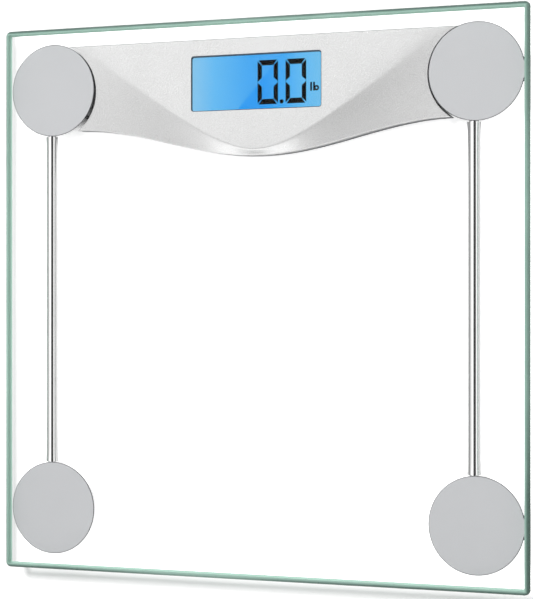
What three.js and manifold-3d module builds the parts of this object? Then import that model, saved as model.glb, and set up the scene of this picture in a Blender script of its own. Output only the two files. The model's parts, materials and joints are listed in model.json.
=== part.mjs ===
// A glass-topped digital platform scale: a square tempered plate on four load-cell feet, with a
// display housing under its rear edge and two bright tubes that carry the front feet's leads to it.
// Millimetres, +Z up, +Y towards the display. The origin is on the floor, under the plate's centre.
import * as THREE from "three";
import { mergeVertices } from "three/addons/utils/BufferGeometryUtils.js";
import Module from "manifold-3d";

const wasm = await Module();
wasm.setup();

// ---------------------------------------------------------------- driving dimensions
const PLATE = { side: 300, thick: 6, corner: 3, edge: 2.8 };
const HEIGHT = 25; // floor to the top of the glass
const GLASS_Z = HEIGHT - PLATE.thick; // underside of the glass
const BOND = 0.3; // clear adhesive film under the glass

const FOOT = { x: 121.4, y: 116 }; // axis of each foot, from the centre
const DISC = { r: 25.4, thick: 0.5, z: GLASS_Z - BOND - 0.5 };
// The cup tapers from the disc down to the floor side.
const CUP = { r: 25.2, lowR: 18.7, wall: 2.2, roof: 2, rim: 1.2, z: 6, top: DISC.z, lip: 1.4, lipR: 14.8 };
const CUP_SOFT = 0.4; // chamfer around the cup's lower end
const BRACKET = { side: 31, chamfer: 5, open: 22, ring: 0.8, z: 13.6, top: CUP.top - CUP.roof, post: 7 };
const CLIP = { width: 8, leg: 0.9, toe: 1.8, drop: 0.9, play: 0.2 };
const CELL = { side: 28, thick: 2, z: BRACKET.z - 2, chamfer: 3, tongue: 10 };
const CELL_SLOT = { width: 1.8, length: 17, end: -9.5 };
const GAUGE = { w: 6, d: 4, y: 4.5, thick: 0.3 };
const CAP = { r: 17.4, z: 1.5, floor: 2.5, top: 4.5, soft: 0.6, skirtR: 14.2, skirtWall: 1.6 };
const HOOK = { r: 15.6, z: 7.8, top: 8.8, width: 8, root: 0.6 };
const GRIP = { r: 15, groove: 0.6 };
const DOME = { r: 3.5, z: 8.5, top: 10.9, bossR: 5 };

// offset is how far both tubes lie to the left of their feet's axes.
const TUBE = { offset: 1.75, z: 15.2, r: 3.4, bore: 1.9, spigotR: 2.5, flareR: 3.6, insert: 4.2 };
const FLARE = { length: 5, slope: 1.5 };
// Sheathed leads: their height over a load cell and in the housing, and the height between two stacked ones.
const LEAD = { r: 0.7, over: 15.3, run: 12.4, step: 2, wallY: 100.5 };
// Where leads leave a rear cup, measured from the foot's axis, and the matching notch in the housing's end.
const EXIT = { x: 20.6, y: 16.4, z: 13.2, length: 8, width: 6.4, height: 5 };
const NOTCH = { x: 21.9, y: 17.4, w: 9, d: 4.4, top: 14.4, turn: 0.6 };

// The housing's plan: a straight rear edge, ends hollowed to follow the cups, and a bellied front edge.
// The hollows' centres lie a little in front of the feet's axes, so the gap to a cup widens forwards.
const HOUSING = { rear: 139.8, frontEnd: 93.4, belly: 16.8, halfSpan: 109, endR: 26.2, endY: 115.3 };
const SHELL = { top: GLASS_Z - BOND, split: 9.95, gap: 0.3, bottom: 3.2, wall: 1.6, roof: 1.5, floor: 1.6 };
// The raised field around the display ends at a soft V. Outside it the cover falls away from the glass.
const RIDGE = { low: 79.8, round: 20.3, slope: 0.74, drop: 3.6 };

const SCREEN = { x: 0, y: 116, w: 75, d: 30, r: 1.5 };
const LCD = { w: 80, d: 35, thick: 2.2, z: 14.4 };
const LCD_FRAME = { w: 83, d: 38.4, z: 11.4, top: 17 };
const GUIDE = { w: 77, d: 31.6, thick: 2.6, z: 11.5, x: 1, y: SCREEN.y + 1.4 }; // set back from the strip
const LED = { w: 1.1, d: 16, h: 2, x: -38.6 };
const STRIP = { w: 70, d: 1.4, y: SCREEN.y - LCD.d / 2 + 0.9 };
const BOARD = { x0: -41.5, x1: 74, y0: 97, y1: 135, z: 9.6, thick: 1.6, notchW: 8, notchD: 6 };
const CHIP = { x: 12, y: 112, r: 6, h: 1.5 };
const SWITCH = { side: 6, z: 7.9, bore: 1.9, plungerR: 1.6, plungerZ: 6.8, plunger: 1.8 };
const BUTTON = { x: 60, y: 116, r: 4.5, flangeR: 5.8, flange: 0.9, stemR: 2, dishR: 7.5, dish: 0.5 };
const SCREWS = [[-78, 95.4], [78, 95.4], [-96.6, 133.6], [96.6, 133.6], [0, 87.4]];
const SCREW = { headR: 2.5, headZ: 4.4, headThick: 1.6, shankR: 1.25, tip: 14.2, bossR: 3.6, slot: 0.6 };

const BATTERY = { r: 5.25, body: 43.4, nub: 1.1, nubR: 1.9, x: -67.65, z: 10.25, ys: [115.5, 127] };
const BAY = { x0: -91.4, x1: -44.6, y0: 108.5, y1: 133.5 }; // opening in the base
const BAY_WALL = { x: -43.2, y0: 106, y1: 134, thick: 1.2, top: 14.2 };
const BAY_POST = { y0: 120.6, y1: 121.9, reach: 1.4, gap: 0.2 }; // stands between the two end contacts
const DOOR = { gap: 0.2, tabX: 14, tabW: 6, tabReach: 1.6, latchW: 14, fingerR: 5, finger: 0.8 };
const CONTACT = { thick: 0.4, side: 9, wire: 0.35, coilR: 2.9, turns: 2 };

// ---------------------------------------------------------------- solids
// A closed geometry as a solid, turned right side out if its faces point inwards.
function solid(geometry) {
  const flat = geometry.index ? geometry.toNonIndexed() : geometry;
  const bare = new THREE.BufferGeometry().setAttribute("position", flat.getAttribute("position"));
  const merged = mergeVertices(bare, 1e-4);
  const vertProperties = merged.attributes.position.array;
  const index = merged.index.array;
  const corners = [];
  for (let i = 0; i < index.length; i += 3) {
    const [a, b, c] = index.slice(i, i + 3);
    if (a !== b && b !== c && c !== a) corners.push(a, b, c);
  }
  const build = (list) =>
    new wasm.Manifold(new wasm.Mesh({ numProp: 3, vertProperties, triVerts: new Uint32Array(list) }));
  const made = build(corners);
  return made.volume() < 0 ? build(corners.reverse()) : made;
}

function geometryOf(body) {
  const mesh = body.getMesh();
  const geometry = new THREE.BufferGeometry()
    .setAttribute("position", new THREE.BufferAttribute(new Float32Array(mesh.vertProperties), 3))
    .setIndex(new THREE.BufferAttribute(new Uint32Array(mesh.triVerts), 1))
    .toNonIndexed();
  geometry.computeVertexNormals();
  return geometry;
}

const join = (bodies) => bodies.reduce((whole, body) => whole.add(body));
const cut = (body, tools) => tools.reduce((whole, tool) => whole.subtract(tool), body);

// Box between two heights, centred on x and y.
function box(w, d, z0, z1, x = 0, y = 0) {
  return solid(new THREE.BoxGeometry(w, d, z1 - z0).translate(x, y, (z0 + z1) / 2));
}

// Box from its low corner to its high corner.
function span(x0, x1, y0, y1, z0, z1) {
  return box(x1 - x0, y1 - y0, z0, z1, (x0 + x1) / 2, (y0 + y1) / 2);
}

// Upright cylinder between two heights.
function rod(r, z0, z1, x = 0, y = 0, sides = 20) {
  const geometry = new THREE.CylinderGeometry(r, r, z1 - z0, sides).rotateX(Math.PI / 2);
  return solid(geometry.translate(x, y, (z0 + z1) / 2));
}

// Shape extruded between two heights.
function prism(shape, z0, z1, curveSegments = 8) {
  const options = { depth: z1 - z0, bevelEnabled: false, curveSegments };
  return solid(new THREE.ExtrudeGeometry(shape, options).translate(0, 0, z0));
}

// Profile of [radius, height] pairs, closed back to its first point and turned about the upright axis.
function turned(profile, sides = 24) {
  const points = [...profile, profile[0]].map(([r, z]) => new THREE.Vector2(r, z));
  return solid(new THREE.LatheGeometry(points, sides).rotateX(Math.PI / 2));
}

// Skin over a row of equal rings of points, closed by a fan at each end.
function loft(rings) {
  const size = rings[0].length;
  const corners = [];
  const quad = (a, b, c, d) => corners.push(a, b, c, a, c, d);
  rings.slice(1).forEach((ring, i) => {
    ring.forEach((point, j) => {
      const k = (j + 1) % size;
      quad(rings[i][j], rings[i][k], ring[k], point);
    });
  });
  const first = rings[0];
  const last = rings[rings.length - 1];
  for (let j = 1; j < size - 1; j++) {
    corners.push(first[0], first[j + 1], first[j]);
    corners.push(last[0], last[j], last[j + 1]);
  }
  return solid(new THREE.BufferGeometry().setFromPoints(corners));
}

// Round bar of constant radius along a list of points.
function bar(points, r, sides = 6) {
  const path = points.map((p) => new THREE.Vector3(...p));
  const tangents = path.map((p, i) => {
    const before = path[Math.max(i - 1, 0)];
    const after = path[Math.min(i + 1, path.length - 1)];
    return after.clone().sub(before).normalize();
  });
  let side = new THREE.Vector3(0, 0, 1).cross(tangents[0]);
  if (side.length() < 0.1) side = new THREE.Vector3(1, 0, 0);
  return loft(
    path.map((p, i) => {
      side.addScaledVector(tangents[i], -side.dot(tangents[i])).normalize();
      const up = tangents[i].clone().cross(side);
      return Array.from({ length: sides }, (_, j) => {
        const turn = (2 * Math.PI * j) / sides;
        return p.clone().addScaledVector(side, r * Math.cos(turn)).addScaledVector(up, r * Math.sin(turn));
      });
    }),
  );
}

function roundedRect(w, d, r, x = 0, y = 0) {
  const shape = new THREE.Shape();
  const [px, py] = [w / 2 - r, d / 2 - r];
  shape.absarc(x + px, y + py, r, 0, Math.PI / 2);
  shape.absarc(x - px, y + py, r, Math.PI / 2, Math.PI);
  shape.absarc(x - px, y - py, r, Math.PI, 1.5 * Math.PI);
  shape.absarc(x + px, y - py, r, 1.5 * Math.PI, 2 * Math.PI);
  return shape;
}

// ---------------------------------------------------------------- materials
function material(color, roughness, metalness = 0) {
  return new THREE.MeshStandardMaterial({ color, roughness, metalness });
}

const MATERIALS = {
  glass: Object.assign(material(0xd9efe6, 0.03), { transparent: true, opacity: 0.35 }),
  cover: material(0xe4e5e6, 0.35, 0.4),
  disc: material(0xcbccce, 0.5, 0.3),
  shell: material(0x55575a, 0.55),
  chrome: material(0xd8d9da, 0.08, 1),
  steel: material(0xa9abad, 0.35, 1),
  white: material(0xe8e8e2, 0.5),
  rubber: material(0x2c2d2f, 0.85),
  board: material(0x1f6b45, 0.5),
  black: material(0x151617, 0.5),
  lcd: material(0x58b0f0, 0.15),
  guide: material(0xeaf4ff, 0.2),
  battery: material(0x30363c, 0.3, 0.3),
  lead: material(0x3a3b3d, 0.6),
};

const scale = new THREE.Group();
function place(group, name, body, finish) {
  const mesh = new THREE.Mesh(geometryOf(body), MATERIALS[finish]);
  mesh.name = name;
  group.add(mesh);
}

// ---------------------------------------------------------------- glass plate
// The edge is ground to a round: rings of a rounded square, drawn in towards both faces.
function glassPlate() {
  const cornerSteps = 3;
  const edgeSteps = 6;
  const ring = (inset, z) => {
    const reach = PLATE.side / 2 - PLATE.corner;
    const r = PLATE.corner - inset;
    return [0, 1, 2, 3].flatMap((quarter) =>
      Array.from({ length: cornerSteps + 1 }, (_, i) => {
        const turn = ((quarter + i / cornerSteps) * Math.PI) / 2;
        const centreX = quarter === 0 || quarter === 3 ? reach : -reach;
        const centreY = quarter < 2 ? reach : -reach;
        return new THREE.Vector3(centreX + r * Math.cos(turn), centreY + r * Math.sin(turn), z);
      }),
    );
  };
  const half = PLATE.thick / 2;
  return loft(
    Array.from({ length: edgeSteps + 1 }, (_, i) => {
      const turn = (i / edgeSteps - 0.5) * Math.PI;
      return ring(PLATE.edge * (1 - Math.cos(turn)), GLASS_Z + half + half * Math.sin(turn));
    }),
  );
}

// ---------------------------------------------------------------- feet
// Outside of the cup at height z.
const cupRadius = (z) => CUP.lowR + ((CUP.r - CUP.lowR) * (z - CUP.z)) / (CUP.top - CUP.rim - CUP.z);

// Each foot is modelled about its own axis. rear is true for the pair beside the display.
function footCup(rear, side) {
  const [ceiling, ledge] = [CUP.top - CUP.roof, CUP.z + CUP.lip];
  const body = turned([
    [0, CUP.top],
    [0, ceiling],
    [cupRadius(ceiling) - CUP.wall, ceiling],
    [cupRadius(ledge) - CUP.wall, ledge],
    [CUP.lipR, ledge],
    [CUP.lipR, CUP.z],
    [CUP.lowR - CUP_SOFT, CUP.z],
    [cupRadius(CUP.z + CUP_SOFT), CUP.z + CUP_SOFT],
    [CUP.r, CUP.top - CUP.rim],
    [CUP.r, CUP.top],
  ], 32);
  const holeR = TUBE.spigotR + 0.2;
  const hole = new THREE.CylinderGeometry(holeR, holeR, 8, 16);
  const tools = [solid(hole.translate(-TUBE.offset, (rear ? -1 : 1) * (CUP.r - CUP.wall), TUBE.z))];
  if (rear) tools.push(leadSlot(side));
  return cut(body, tools);
}

// Slot through a rear cup's wall, towards the housing's front corner.
function leadSlot(side) {
  const angle = Math.atan2(-EXIT.y, -side * EXIT.x);
  const slot = new THREE.BoxGeometry(EXIT.length, EXIT.width, EXIT.height);
  return solid(slot.translate(CUP.r - CUP.wall, 0, EXIT.z).rotateZ(angle));
}

// Plastic bracket: a thin ring on four posts, with two clips that hold the cell's edges.
function cellBracket() {
  const half = BRACKET.side / 2;
  const ringTop = BRACKET.z + BRACKET.ring;
  const frame = cut(prism(chamferedSquare(BRACKET.side, BRACKET.chamfer), BRACKET.z, ringTop), [
    box(BRACKET.open, BRACKET.open, BRACKET.z - 1, ringTop + 1),
  ]);
  const reach = half - BRACKET.post / 2;
  const posts = [[1, 1], [1, -1], [-1, 1], [-1, -1]].map(([sx, sy]) =>
    box(BRACKET.post - 2, BRACKET.post - 2, ringTop - 0.2, BRACKET.top, sx * reach, sy * reach),
  );
  const foot = CELL.z - CLIP.drop;
  const clips = [-1, 1].map((s) => {
    const leg = box(CLIP.leg, CLIP.width, foot, ringTop, s * (half - CLIP.play));
    const toe = box(CLIP.toe, CLIP.width, foot, CELL.z - CLIP.play, s * (half - CLIP.leg + 0.1));
    return leg.add(toe);
  });
  return join([frame, ...posts, ...clips]);
}

function chamferedSquare(side, chamfer) {
  const [a, b] = [side / 2, side / 2 - chamfer];
  const corners = [[a, b], [b, a], [-b, a], [-a, b], [-a, -b], [-b, -a], [b, -a], [a, -b]];
  return new THREE.Shape(corners.map(([x, y]) => new THREE.Vector2(x, y)));
}

// Spring-steel half-bridge cell: the tongue that the foot presses is freed by a U-shaped slot.
function loadCell() {
  const top = CELL.z + CELL.thick;
  const { width, length, end } = CELL_SLOT;
  const x = (CELL.tongue + width) / 2;
  const slots = [
    box(width, length, CELL.z - 1, top + 1, x, end + length / 2),
    box(width, length, CELL.z - 1, top + 1, -x, end + length / 2),
    box(CELL.tongue + 2 * width, width, CELL.z - 1, top + 1, 0, end + width / 2),
  ];
  const gauge = box(GAUGE.w, GAUGE.d, top - 0.1, top + GAUGE.thick, 0, GAUGE.y);
  return cut(prism(chamferedSquare(CELL.side, CELL.chamfer), CELL.z, top), slots).add(gauge);
}

// The part that moves: a flanged cap whose skirt hooks over the cup's lip.
function footCap() {
  const skirtIn = CAP.skirtR - CAP.skirtWall;
  const seatR = GRIP.r + 0.3;
  const body = turned([
    [0, DOME.z],
    [0, CAP.floor],
    [seatR, CAP.floor],
    [seatR, CAP.z],
    [CAP.r - CAP.soft, CAP.z],
    [CAP.r, CAP.z + CAP.soft],
    [CAP.r, CAP.top - CAP.soft],
    [CAP.r - CAP.soft, CAP.top],
    [CAP.skirtR, CAP.top],
    [CAP.skirtR, HOOK.top],
    [skirtIn, HOOK.top],
    [skirtIn, CAP.top],
    [DOME.bossR, CAP.top],
    [DOME.bossR, DOME.z],
  ]);
  const root = CAP.skirtR - HOOK.root;
  const hooks = [0, 1, 2].map((i) => {
    const geometry = new THREE.BoxGeometry(HOOK.r - root, HOOK.width, HOOK.top - HOOK.z);
    geometry.translate((HOOK.r + root) / 2, 0, (HOOK.top + HOOK.z) / 2);
    return solid(geometry.rotateZ(Math.PI / 2 + (i * 2 * Math.PI) / 3));
  });
  return join([body, ...hooks]);
}

function footGrip() {
  const [z, g] = [CAP.floor, GRIP.groove];
  const sole = [[0, 0], [9, 0], [9.5, g], [11, g], [11.5, 0], [GRIP.r - 0.5, 0], [GRIP.r, 0.5]];
  return turned([[0, z], ...sole, [GRIP.r, z]]);
}

function loadDome() {
  const height = DOME.top - DOME.z;
  const arc = [0, 1, 2, 3].map((i) => {
    const turn = (i / 3) * (Math.PI / 2);
    return [DOME.r * Math.cos(turn), DOME.z + height * (0.4 + 0.6 * Math.sin(turn))];
  });
  return turned([[0, DOME.z], [DOME.r, DOME.z], ...arc.slice(0, -1), [0, DOME.top]], 12);
}

const FEET = [
  { name: "front_left", side: -1, rear: false },
  { name: "front_right", side: 1, rear: false },
  { name: "rear_left", side: -1, rear: true },
  { name: "rear_right", side: 1, rear: true },
];
for (const { name, side, rear } of FEET) {
  const foot = new THREE.Group();
  foot.position.set(side * FOOT.x, (rear ? 1 : -1) * FOOT.y, 0);
  place(foot, `foot_disc_${name}`, rod(DISC.r, DISC.z, DISC.z + DISC.thick, 0, 0, 36), "disc");
  place(foot, `foot_cup_${name}`, footCup(rear, side), "shell");
  place(foot, `cell_bracket_${name}`, cellBracket(), "white");
  place(foot, `load_cell_${name}`, loadCell(), "steel");
  place(foot, `load_dome_${name}`, loadDome(), "steel");
  place(foot, `foot_cap_${name}`, footCap(), "shell");
  place(foot, `foot_grip_${name}`, footGrip(), "rubber");
  scale.add(foot);
}

// ---------------------------------------------------------------- tubes and leads
// Bright tube between two cups: flared beside each cup, with a spigot that enters it.
function wireTube() {
  const shoulder = FOOT.y - DISC.r - 0.3;
  const half = FOOT.y - CUP.r + TUBE.insert;
  const neck = shoulder - FLARE.length;
  const front = [
    [TUBE.bore, -half],
    [TUBE.spigotR, -half],
    [TUBE.spigotR, -shoulder],
    [TUBE.flareR, -shoulder],
    [TUBE.flareR, -neck],
    [TUBE.r, FLARE.slope - neck],
  ];
  const rear = front.map(([r, y]) => [r, -y]).reverse();
  const profile = [...front, ...rear, front[0]];
  return solid(new THREE.LatheGeometry(profile.map(([r, y]) => new THREE.Vector2(r, y)), 18));
}

// Points given as [towards the scale's middle, towards its rear, height] from a foot's axis.
function fromFoot(side, rear, points) {
  const y0 = rear ? FOOT.y : -FOOT.y;
  return points.map(([inwards, back, z]) => [side * (FOOT.x - inwards), y0 + back, z]);
}

// A front foot's lead runs through the tube, crosses the rear cup and enters the housing.
function frontLead(side) {
  const bore = side * TUBE.offset;
  return bar([
    ...fromFoot(side, false, [
      [5, 9, LEAD.over - 0.6],
      [1.5, 13, LEAD.over],
      [bore, 18, LEAD.over],
      [bore, 24, TUBE.z],
    ]),
    ...fromFoot(side, true, [
      [bore, -24, TUBE.z],
      [bore, -18.5, LEAD.over],
      [2, -13, LEAD.over],
      [7, -7, LEAD.over],
      [14, -7, LEAD.over],
      [15.6, -10, LEAD.over],
      [16.4, -12.4, LEAD.over - 0.3],
      [18.8, -15, LEAD.over - 1.1],
    ]),
    ...housingRun(side, LEAD.run),
  ], LEAD.r);
}

// A rear foot's lead dips under the front one's and leaves by the same slot.
function rearLead(side) {
  return bar([
    ...fromFoot(side, true, [
      [5, 6, LEAD.over - 0.6],
      [8, 2, LEAD.over],
      [13, -3.4, LEAD.over],
      [16.8, -5.6, LEAD.over - 0.2],
      [16.8, -9.6, LEAD.run + 0.9],
      [17.2, -12, LEAD.run],
      [18.9, -14.8, LEAD.run - 0.4],
    ]),
    ...housingRun(side, LEAD.run - LEAD.step),
  ], LEAD.r);
}

// From the cup's slot, through the housing's end wall, and along its front wall to the board.
function housingRun(side, z) {
  const start = fromFoot(side, true, [[22.5, -17.8, z + 0.6], [26, -18.6, z]]);
  const [low, lowest] = [z - 2.4, z - 3.6];
  const y = LEAD.wallY;
  if (side > 0) return [...start, [88, y - 0.7, z - 0.6], [80, y + 1, low], [BOARD.x1 + 0.6, y + 2.5, low]];
  return [...start, [-88, y - 0.4, z - 0.6], [-84, y, low], [-46, y, lowest], [BOARD.x0 + 3, y, lowest]];
}

for (const [name, side] of [["left", -1], ["right", 1]]) {
  const tube = new THREE.Group();
  tube.position.set(side * FOOT.x - TUBE.offset, 0, TUBE.z);
  place(tube, `wire_tube_${name}`, wireTube(), "chrome");
  scale.add(tube);
  place(scale, `cell_lead_front_${name}`, frontLead(side), "lead");
  place(scale, `cell_lead_rear_${name}`, rearLead(side), "lead");
}

// ---------------------------------------------------------------- display housing
const bellyAt = (x) => (1 + Math.cos((Math.PI * x) / HOUSING.halfSpan)) / 2;
const frontEdge = (x) => HOUSING.frontEnd - HOUSING.belly * bellyAt(x);
const ridgeLine = (x) => RIDGE.low - RIDGE.round + Math.hypot(RIDGE.round, RIDGE.slope * x);

// Plan of the housing, drawn in by inset all round.
function housingPlan(inset) {
  const endR = HOUSING.endR + inset;
  const rearTurn = Math.asin((HOUSING.rear - inset - HOUSING.endY) / endR);
  const frontTurn = Math.asin((HOUSING.frontEnd + inset - HOUSING.endY) / endR);
  const frontX = FOOT.x - endR * Math.cos(frontTurn);
  const steps = 26;
  const shape = new THREE.Shape();
  shape.absarc(-FOOT.x, HOUSING.endY, endR, rearTurn, frontTurn, true);
  for (let i = 1; i < steps; i++) {
    const x = frontX * ((2 * i) / steps - 1);
    shape.lineTo(x, frontEdge(x) + inset);
  }
  shape.absarc(FOOT.x, HOUSING.endY, endR, Math.PI - frontTurn, Math.PI - rearTurn, true);
  return shape;
}

// Everything above the cover's falling flank, lowered by depth.
function flankTool(depth) {
  const reach = HOUSING.halfSpan + 3;
  const [over, tall, steps] = [3, 9, 20];
  const z = SHELL.top - depth;
  return loft(
    Array.from({ length: steps + 1 }, (_, i) => {
      const x = reach * ((2 * i) / steps - 1);
      const y0 = frontEdge(THREE.MathUtils.clamp(x, -HOUSING.halfSpan, HOUSING.halfSpan));
      const y1 = ridgeLine(x);
      const fall = RIDGE.drop * (1 + over / (y1 - y0));
      return [[y1, z + tall], [y1, z], [y0 - over, z - fall], [y0 - over, z + tall]].map(
        ([y, h]) => new THREE.Vector3(x, y, h),
      );
    }),
  );
}

// Notches in both end walls for the leads.
function leadNotches(z0, z1) {
  return [-1, 1].map((side) => {
    const notch = new THREE.BoxGeometry(NOTCH.w, NOTCH.d, z1 - z0).rotateZ(NOTCH.turn * side);
    return solid(notch.translate(side * (FOOT.x - NOTCH.x), FOOT.y - NOTCH.y, (z0 + z1) / 2));
  });
}

function displayCover() {
  const low = SHELL.split + SHELL.gap / 2;
  const outside = prism(housingPlan(0), low, SHELL.top).subtract(flankTool(0));
  const hollow = prism(housingPlan(SHELL.wall), low - 1, SHELL.top - SHELL.roof);
  const inside = hollow.subtract(flankTool(SHELL.roof));
  const window = prism(roundedRect(SCREEN.w, SCREEN.d, SCREEN.r, SCREEN.x, SCREEN.y), 10, 20, 3);
  const bosses = join(SCREWS.map((at) => rod(SCREW.bossR, low + 0.2, SHELL.top - 0.5, ...at, 16)));
  const fitted = bosses.intersect(outside);
  const pilots = SCREWS.map((at) => rod(SCREW.shankR + 0.1, low - 1, SCREW.tip + 0.4, ...at, 12));
  const shell = cut(outside.subtract(inside), [window, ...leadNotches(low - 1, NOTCH.top)]);
  return cut(shell.add(fitted), pilots);
}

function displayBase() {
  const high = SHELL.split - SHELL.gap / 2;
  const floorTop = SHELL.bottom + SHELL.floor;
  const outside = prism(housingPlan(0), SHELL.bottom, high);
  const inside = prism(housingPlan(SHELL.wall), floorTop, high + 1);
  const { x, y0, y1, thick, top } = BAY_WALL;
  const xEnd = BAY.x0 + 0.4;
  const rise = [floorTop - 0.2, top];
  const bay = [
    span(xEnd, x + thick, y0 - thick, y0, ...rise),
    span(xEnd, x + thick, y1, y1 + thick, ...rise),
    span(x, x + thick, y0 - thick, y1 + thick, ...rise),
    span(BAY.x0 - BAY_POST.reach, BAY.x0 - BAY_POST.gap, BAY_POST.y0, BAY_POST.y1, ...rise),
  ];
  const opening = span(BAY.x0, BAY.x1, BAY.y0, BAY.y1, SHELL.bottom - 1, floorTop + 0.1);
  const headTop = SCREW.headZ + SCREW.headThick;
  const bosses = SCREWS.map((at) => rod(SCREW.bossR, floorTop - 0.2, high, ...at, 16));
  const wells = SCREWS.map((at) => rod(SCREW.headR + 0.4, SHELL.bottom - 1, headTop, ...at, 16));
  const bores = SCREWS.map((at) => rod(SCREW.shankR + 0.25, SHELL.bottom, high + 1, ...at, 12));
  const dish = rod(BUTTON.dishR, SHELL.bottom - 1, SHELL.bottom + BUTTON.dish, BUTTON.x, BUTTON.y, 28);
  const hole = rod(BUTTON.r + 0.3, SHELL.bottom - 1, floorTop + 1, BUTTON.x, BUTTON.y, 24);
  const shell = join([outside.subtract(inside), ...bay, ...bosses]);
  return cut(shell, [opening, dish, hole, ...wells, ...bores]);
}

// Battery door: two tabs hook behind the opening's front edge, and a short latch wall meets the rear edge.
function batteryDoor() {
  const top = SHELL.bottom + SHELL.floor;
  const middle = (BAY.x0 + BAY.x1) / 2;
  const g = DOOR.gap;
  const plate = span(BAY.x0 + g, BAY.x1 - g, BAY.y0 + g, BAY.y1 - g, SHELL.bottom, top);
  const tabs = [-DOOR.tabX, DOOR.tabX].flatMap((offset) => {
    const x = [middle + offset - DOOR.tabW / 2, middle + offset + DOOR.tabW / 2];
    return [
      span(...x, BAY.y0 + g, BAY.y0 + 1.4, top - 0.2, top + DOOR.tabReach),
      span(...x, BAY.y0 - DOOR.tabReach, BAY.y0 + 1.4, top + 0.4, top + DOOR.tabReach),
    ];
  });
  const latchX = [middle - DOOR.latchW / 2, middle + DOOR.latchW / 2];
  const latch = span(...latchX, BAY.y1 - 1.3, BAY.y1 - 0.3, top - 0.2, top + 1.2);
  const finger = rod(DOOR.fingerR, SHELL.bottom - 1, SHELL.bottom + DOOR.finger, middle, BAY.y1 - 1.5, 24);
  return join([plate, ...tabs, latch]).subtract(finger);
}

function lcdFrame() {
  const inner = box(LCD.w + 0.4, LCD.d + 0.4, LCD_FRAME.z - 1, LCD_FRAME.top + 1, SCREEN.x, SCREEN.y);
  return box(LCD_FRAME.w, LCD_FRAME.d, LCD_FRAME.z, LCD_FRAME.top, SCREEN.x, SCREEN.y).subtract(inner);
}

function lcdPanel() {
  const rear = SCREEN.y + LCD.d / 2;
  const ledge = LCD.thick / 2;
  const back = span(SCREEN.x - LCD.w / 2, SCREEN.x + LCD.w / 2, rear - LCD.d + 2, rear, LCD.z, LCD.z + ledge);
  return back.add(box(LCD.w, LCD.d, LCD.z + ledge - 0.1, LCD.z + LCD.thick, SCREEN.x, SCREEN.y));
}

// Clear guide that spreads the backlight under the display, with a row of LEDs at its left end.
function backlightGuide() {
  return box(GUIDE.w, GUIDE.d, GUIDE.z, GUIDE.z + GUIDE.thick, SCREEN.x + GUIDE.x, GUIDE.y);
}

function backlightLed() {
  return box(LED.w, LED.d, GUIDE.z, GUIDE.z + LED.h, SCREEN.x + LED.x, GUIDE.y);
}

// Elastomer strip that joins the display's contacts to the board.
function contactStrip() {
  return box(STRIP.w, STRIP.d, BOARD.z + BOARD.thick, LCD.z + LCD.thick / 2 - 0.1, SCREEN.x, STRIP.y);
}

function circuitBoard() {
  const top = BOARD.z + BOARD.thick;
  const plate = span(BOARD.x0, BOARD.x1, BOARD.y0, BOARD.y1, BOARD.z, top);
  const notch = box(2 * BOARD.notchW, 2 * BOARD.notchD, BOARD.z - 1, top + 1, BOARD.x1, BOARD.y1);
  return plate.subtract(notch);
}

// A chip under a flat drop of resin, on the board's lower face.
function controllerChip() {
  const profile = [[0, 0], [0, 1], [0.42, 0.93], [0.77, 0.6], [1, 0]];
  const drop = profile.map(([r, depth]) => [CHIP.r * r, BOARD.z - CHIP.h * depth]);
  return turned(drop, 16).translate([CHIP.x, CHIP.y, 0]);
}

function unitSwitch() {
  const well = rod(SWITCH.bore, SWITCH.z - 1, BOARD.z - 0.4, BUTTON.x, BUTTON.y, 12);
  return box(SWITCH.side, SWITCH.side, SWITCH.z, BOARD.z, BUTTON.x, BUTTON.y).subtract(well);
}

function switchPlunger() {
  const top = SWITCH.plungerZ + SWITCH.plunger;
  return rod(SWITCH.plungerR, SWITCH.plungerZ, top, BUTTON.x, BUTTON.y, 12);
}

function unitButton() {
  const face = SHELL.bottom + BUTTON.dish;
  const flange = SHELL.bottom + SHELL.floor + 0.2;
  const flangeTop = flange + BUTTON.flange;
  const stemTop = SWITCH.plungerZ - 0.2;
  const body = turned([
    [0, stemTop],
    [0, face + 0.3],
    [BUTTON.r - 1.5, face + 0.15],
    [BUTTON.r - 0.4, face],
    [BUTTON.r, face + 0.4],
    [BUTTON.r, flange],
    [BUTTON.flangeR, flange],
    [BUTTON.flangeR, flangeTop],
    [BUTTON.stemR, flangeTop],
    [BUTTON.stemR, stemTop],
  ], 24);
  return body.translate([BUTTON.x, BUTTON.y, 0]);
}

function housingScrew([x, y]) {
  const seat = SCREW.headZ + SCREW.headThick - 0.05;
  const body = turned([
    [0, SCREW.tip],
    [0, SCREW.headZ],
    [SCREW.headR * 0.7, SCREW.headZ],
    [SCREW.headR, SCREW.headZ + 0.7],
    [SCREW.headR, seat],
    [SCREW.shankR, seat],
    [SCREW.shankR, SCREW.tip - 1.4],
  ], 12);
  const bits = [0, 1].map((i) => {
    const slot = new THREE.BoxGeometry(1.12 * SCREW.headR, SCREW.slot, 1.8).rotateZ((i * Math.PI) / 2);
    return solid(slot.translate(0, 0, SCREW.headZ));
  });
  return cut(body, bits).translate([x, y, 0]);
}

// ---------------------------------------------------------------- batteries and contacts
// The cells lie side by side and point opposite ways. direction is +1 when the nub faces +X.
function batteryCell(y, direction) {
  const start = -(BATTERY.body + BATTERY.nub) / 2;
  const end = start + BATTERY.body;
  const profile = [
    [0, start],
    [BATTERY.r - 0.65, start],
    [BATTERY.r, start + 0.5],
    [BATTERY.r, end - 0.4],
    [BATTERY.r - 0.5, end],
    [BATTERY.nubR, end],
    [BATTERY.nubR, end + BATTERY.nub],
    [0, end + BATTERY.nub],
  ].map(([r, h]) => new THREE.Vector2(r, h));
  const cell = new THREE.LatheGeometry(profile, 20).rotateZ((-direction * Math.PI) / 2);
  return solid(cell.translate(BATTERY.x, y, BATTERY.z));
}

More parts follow.
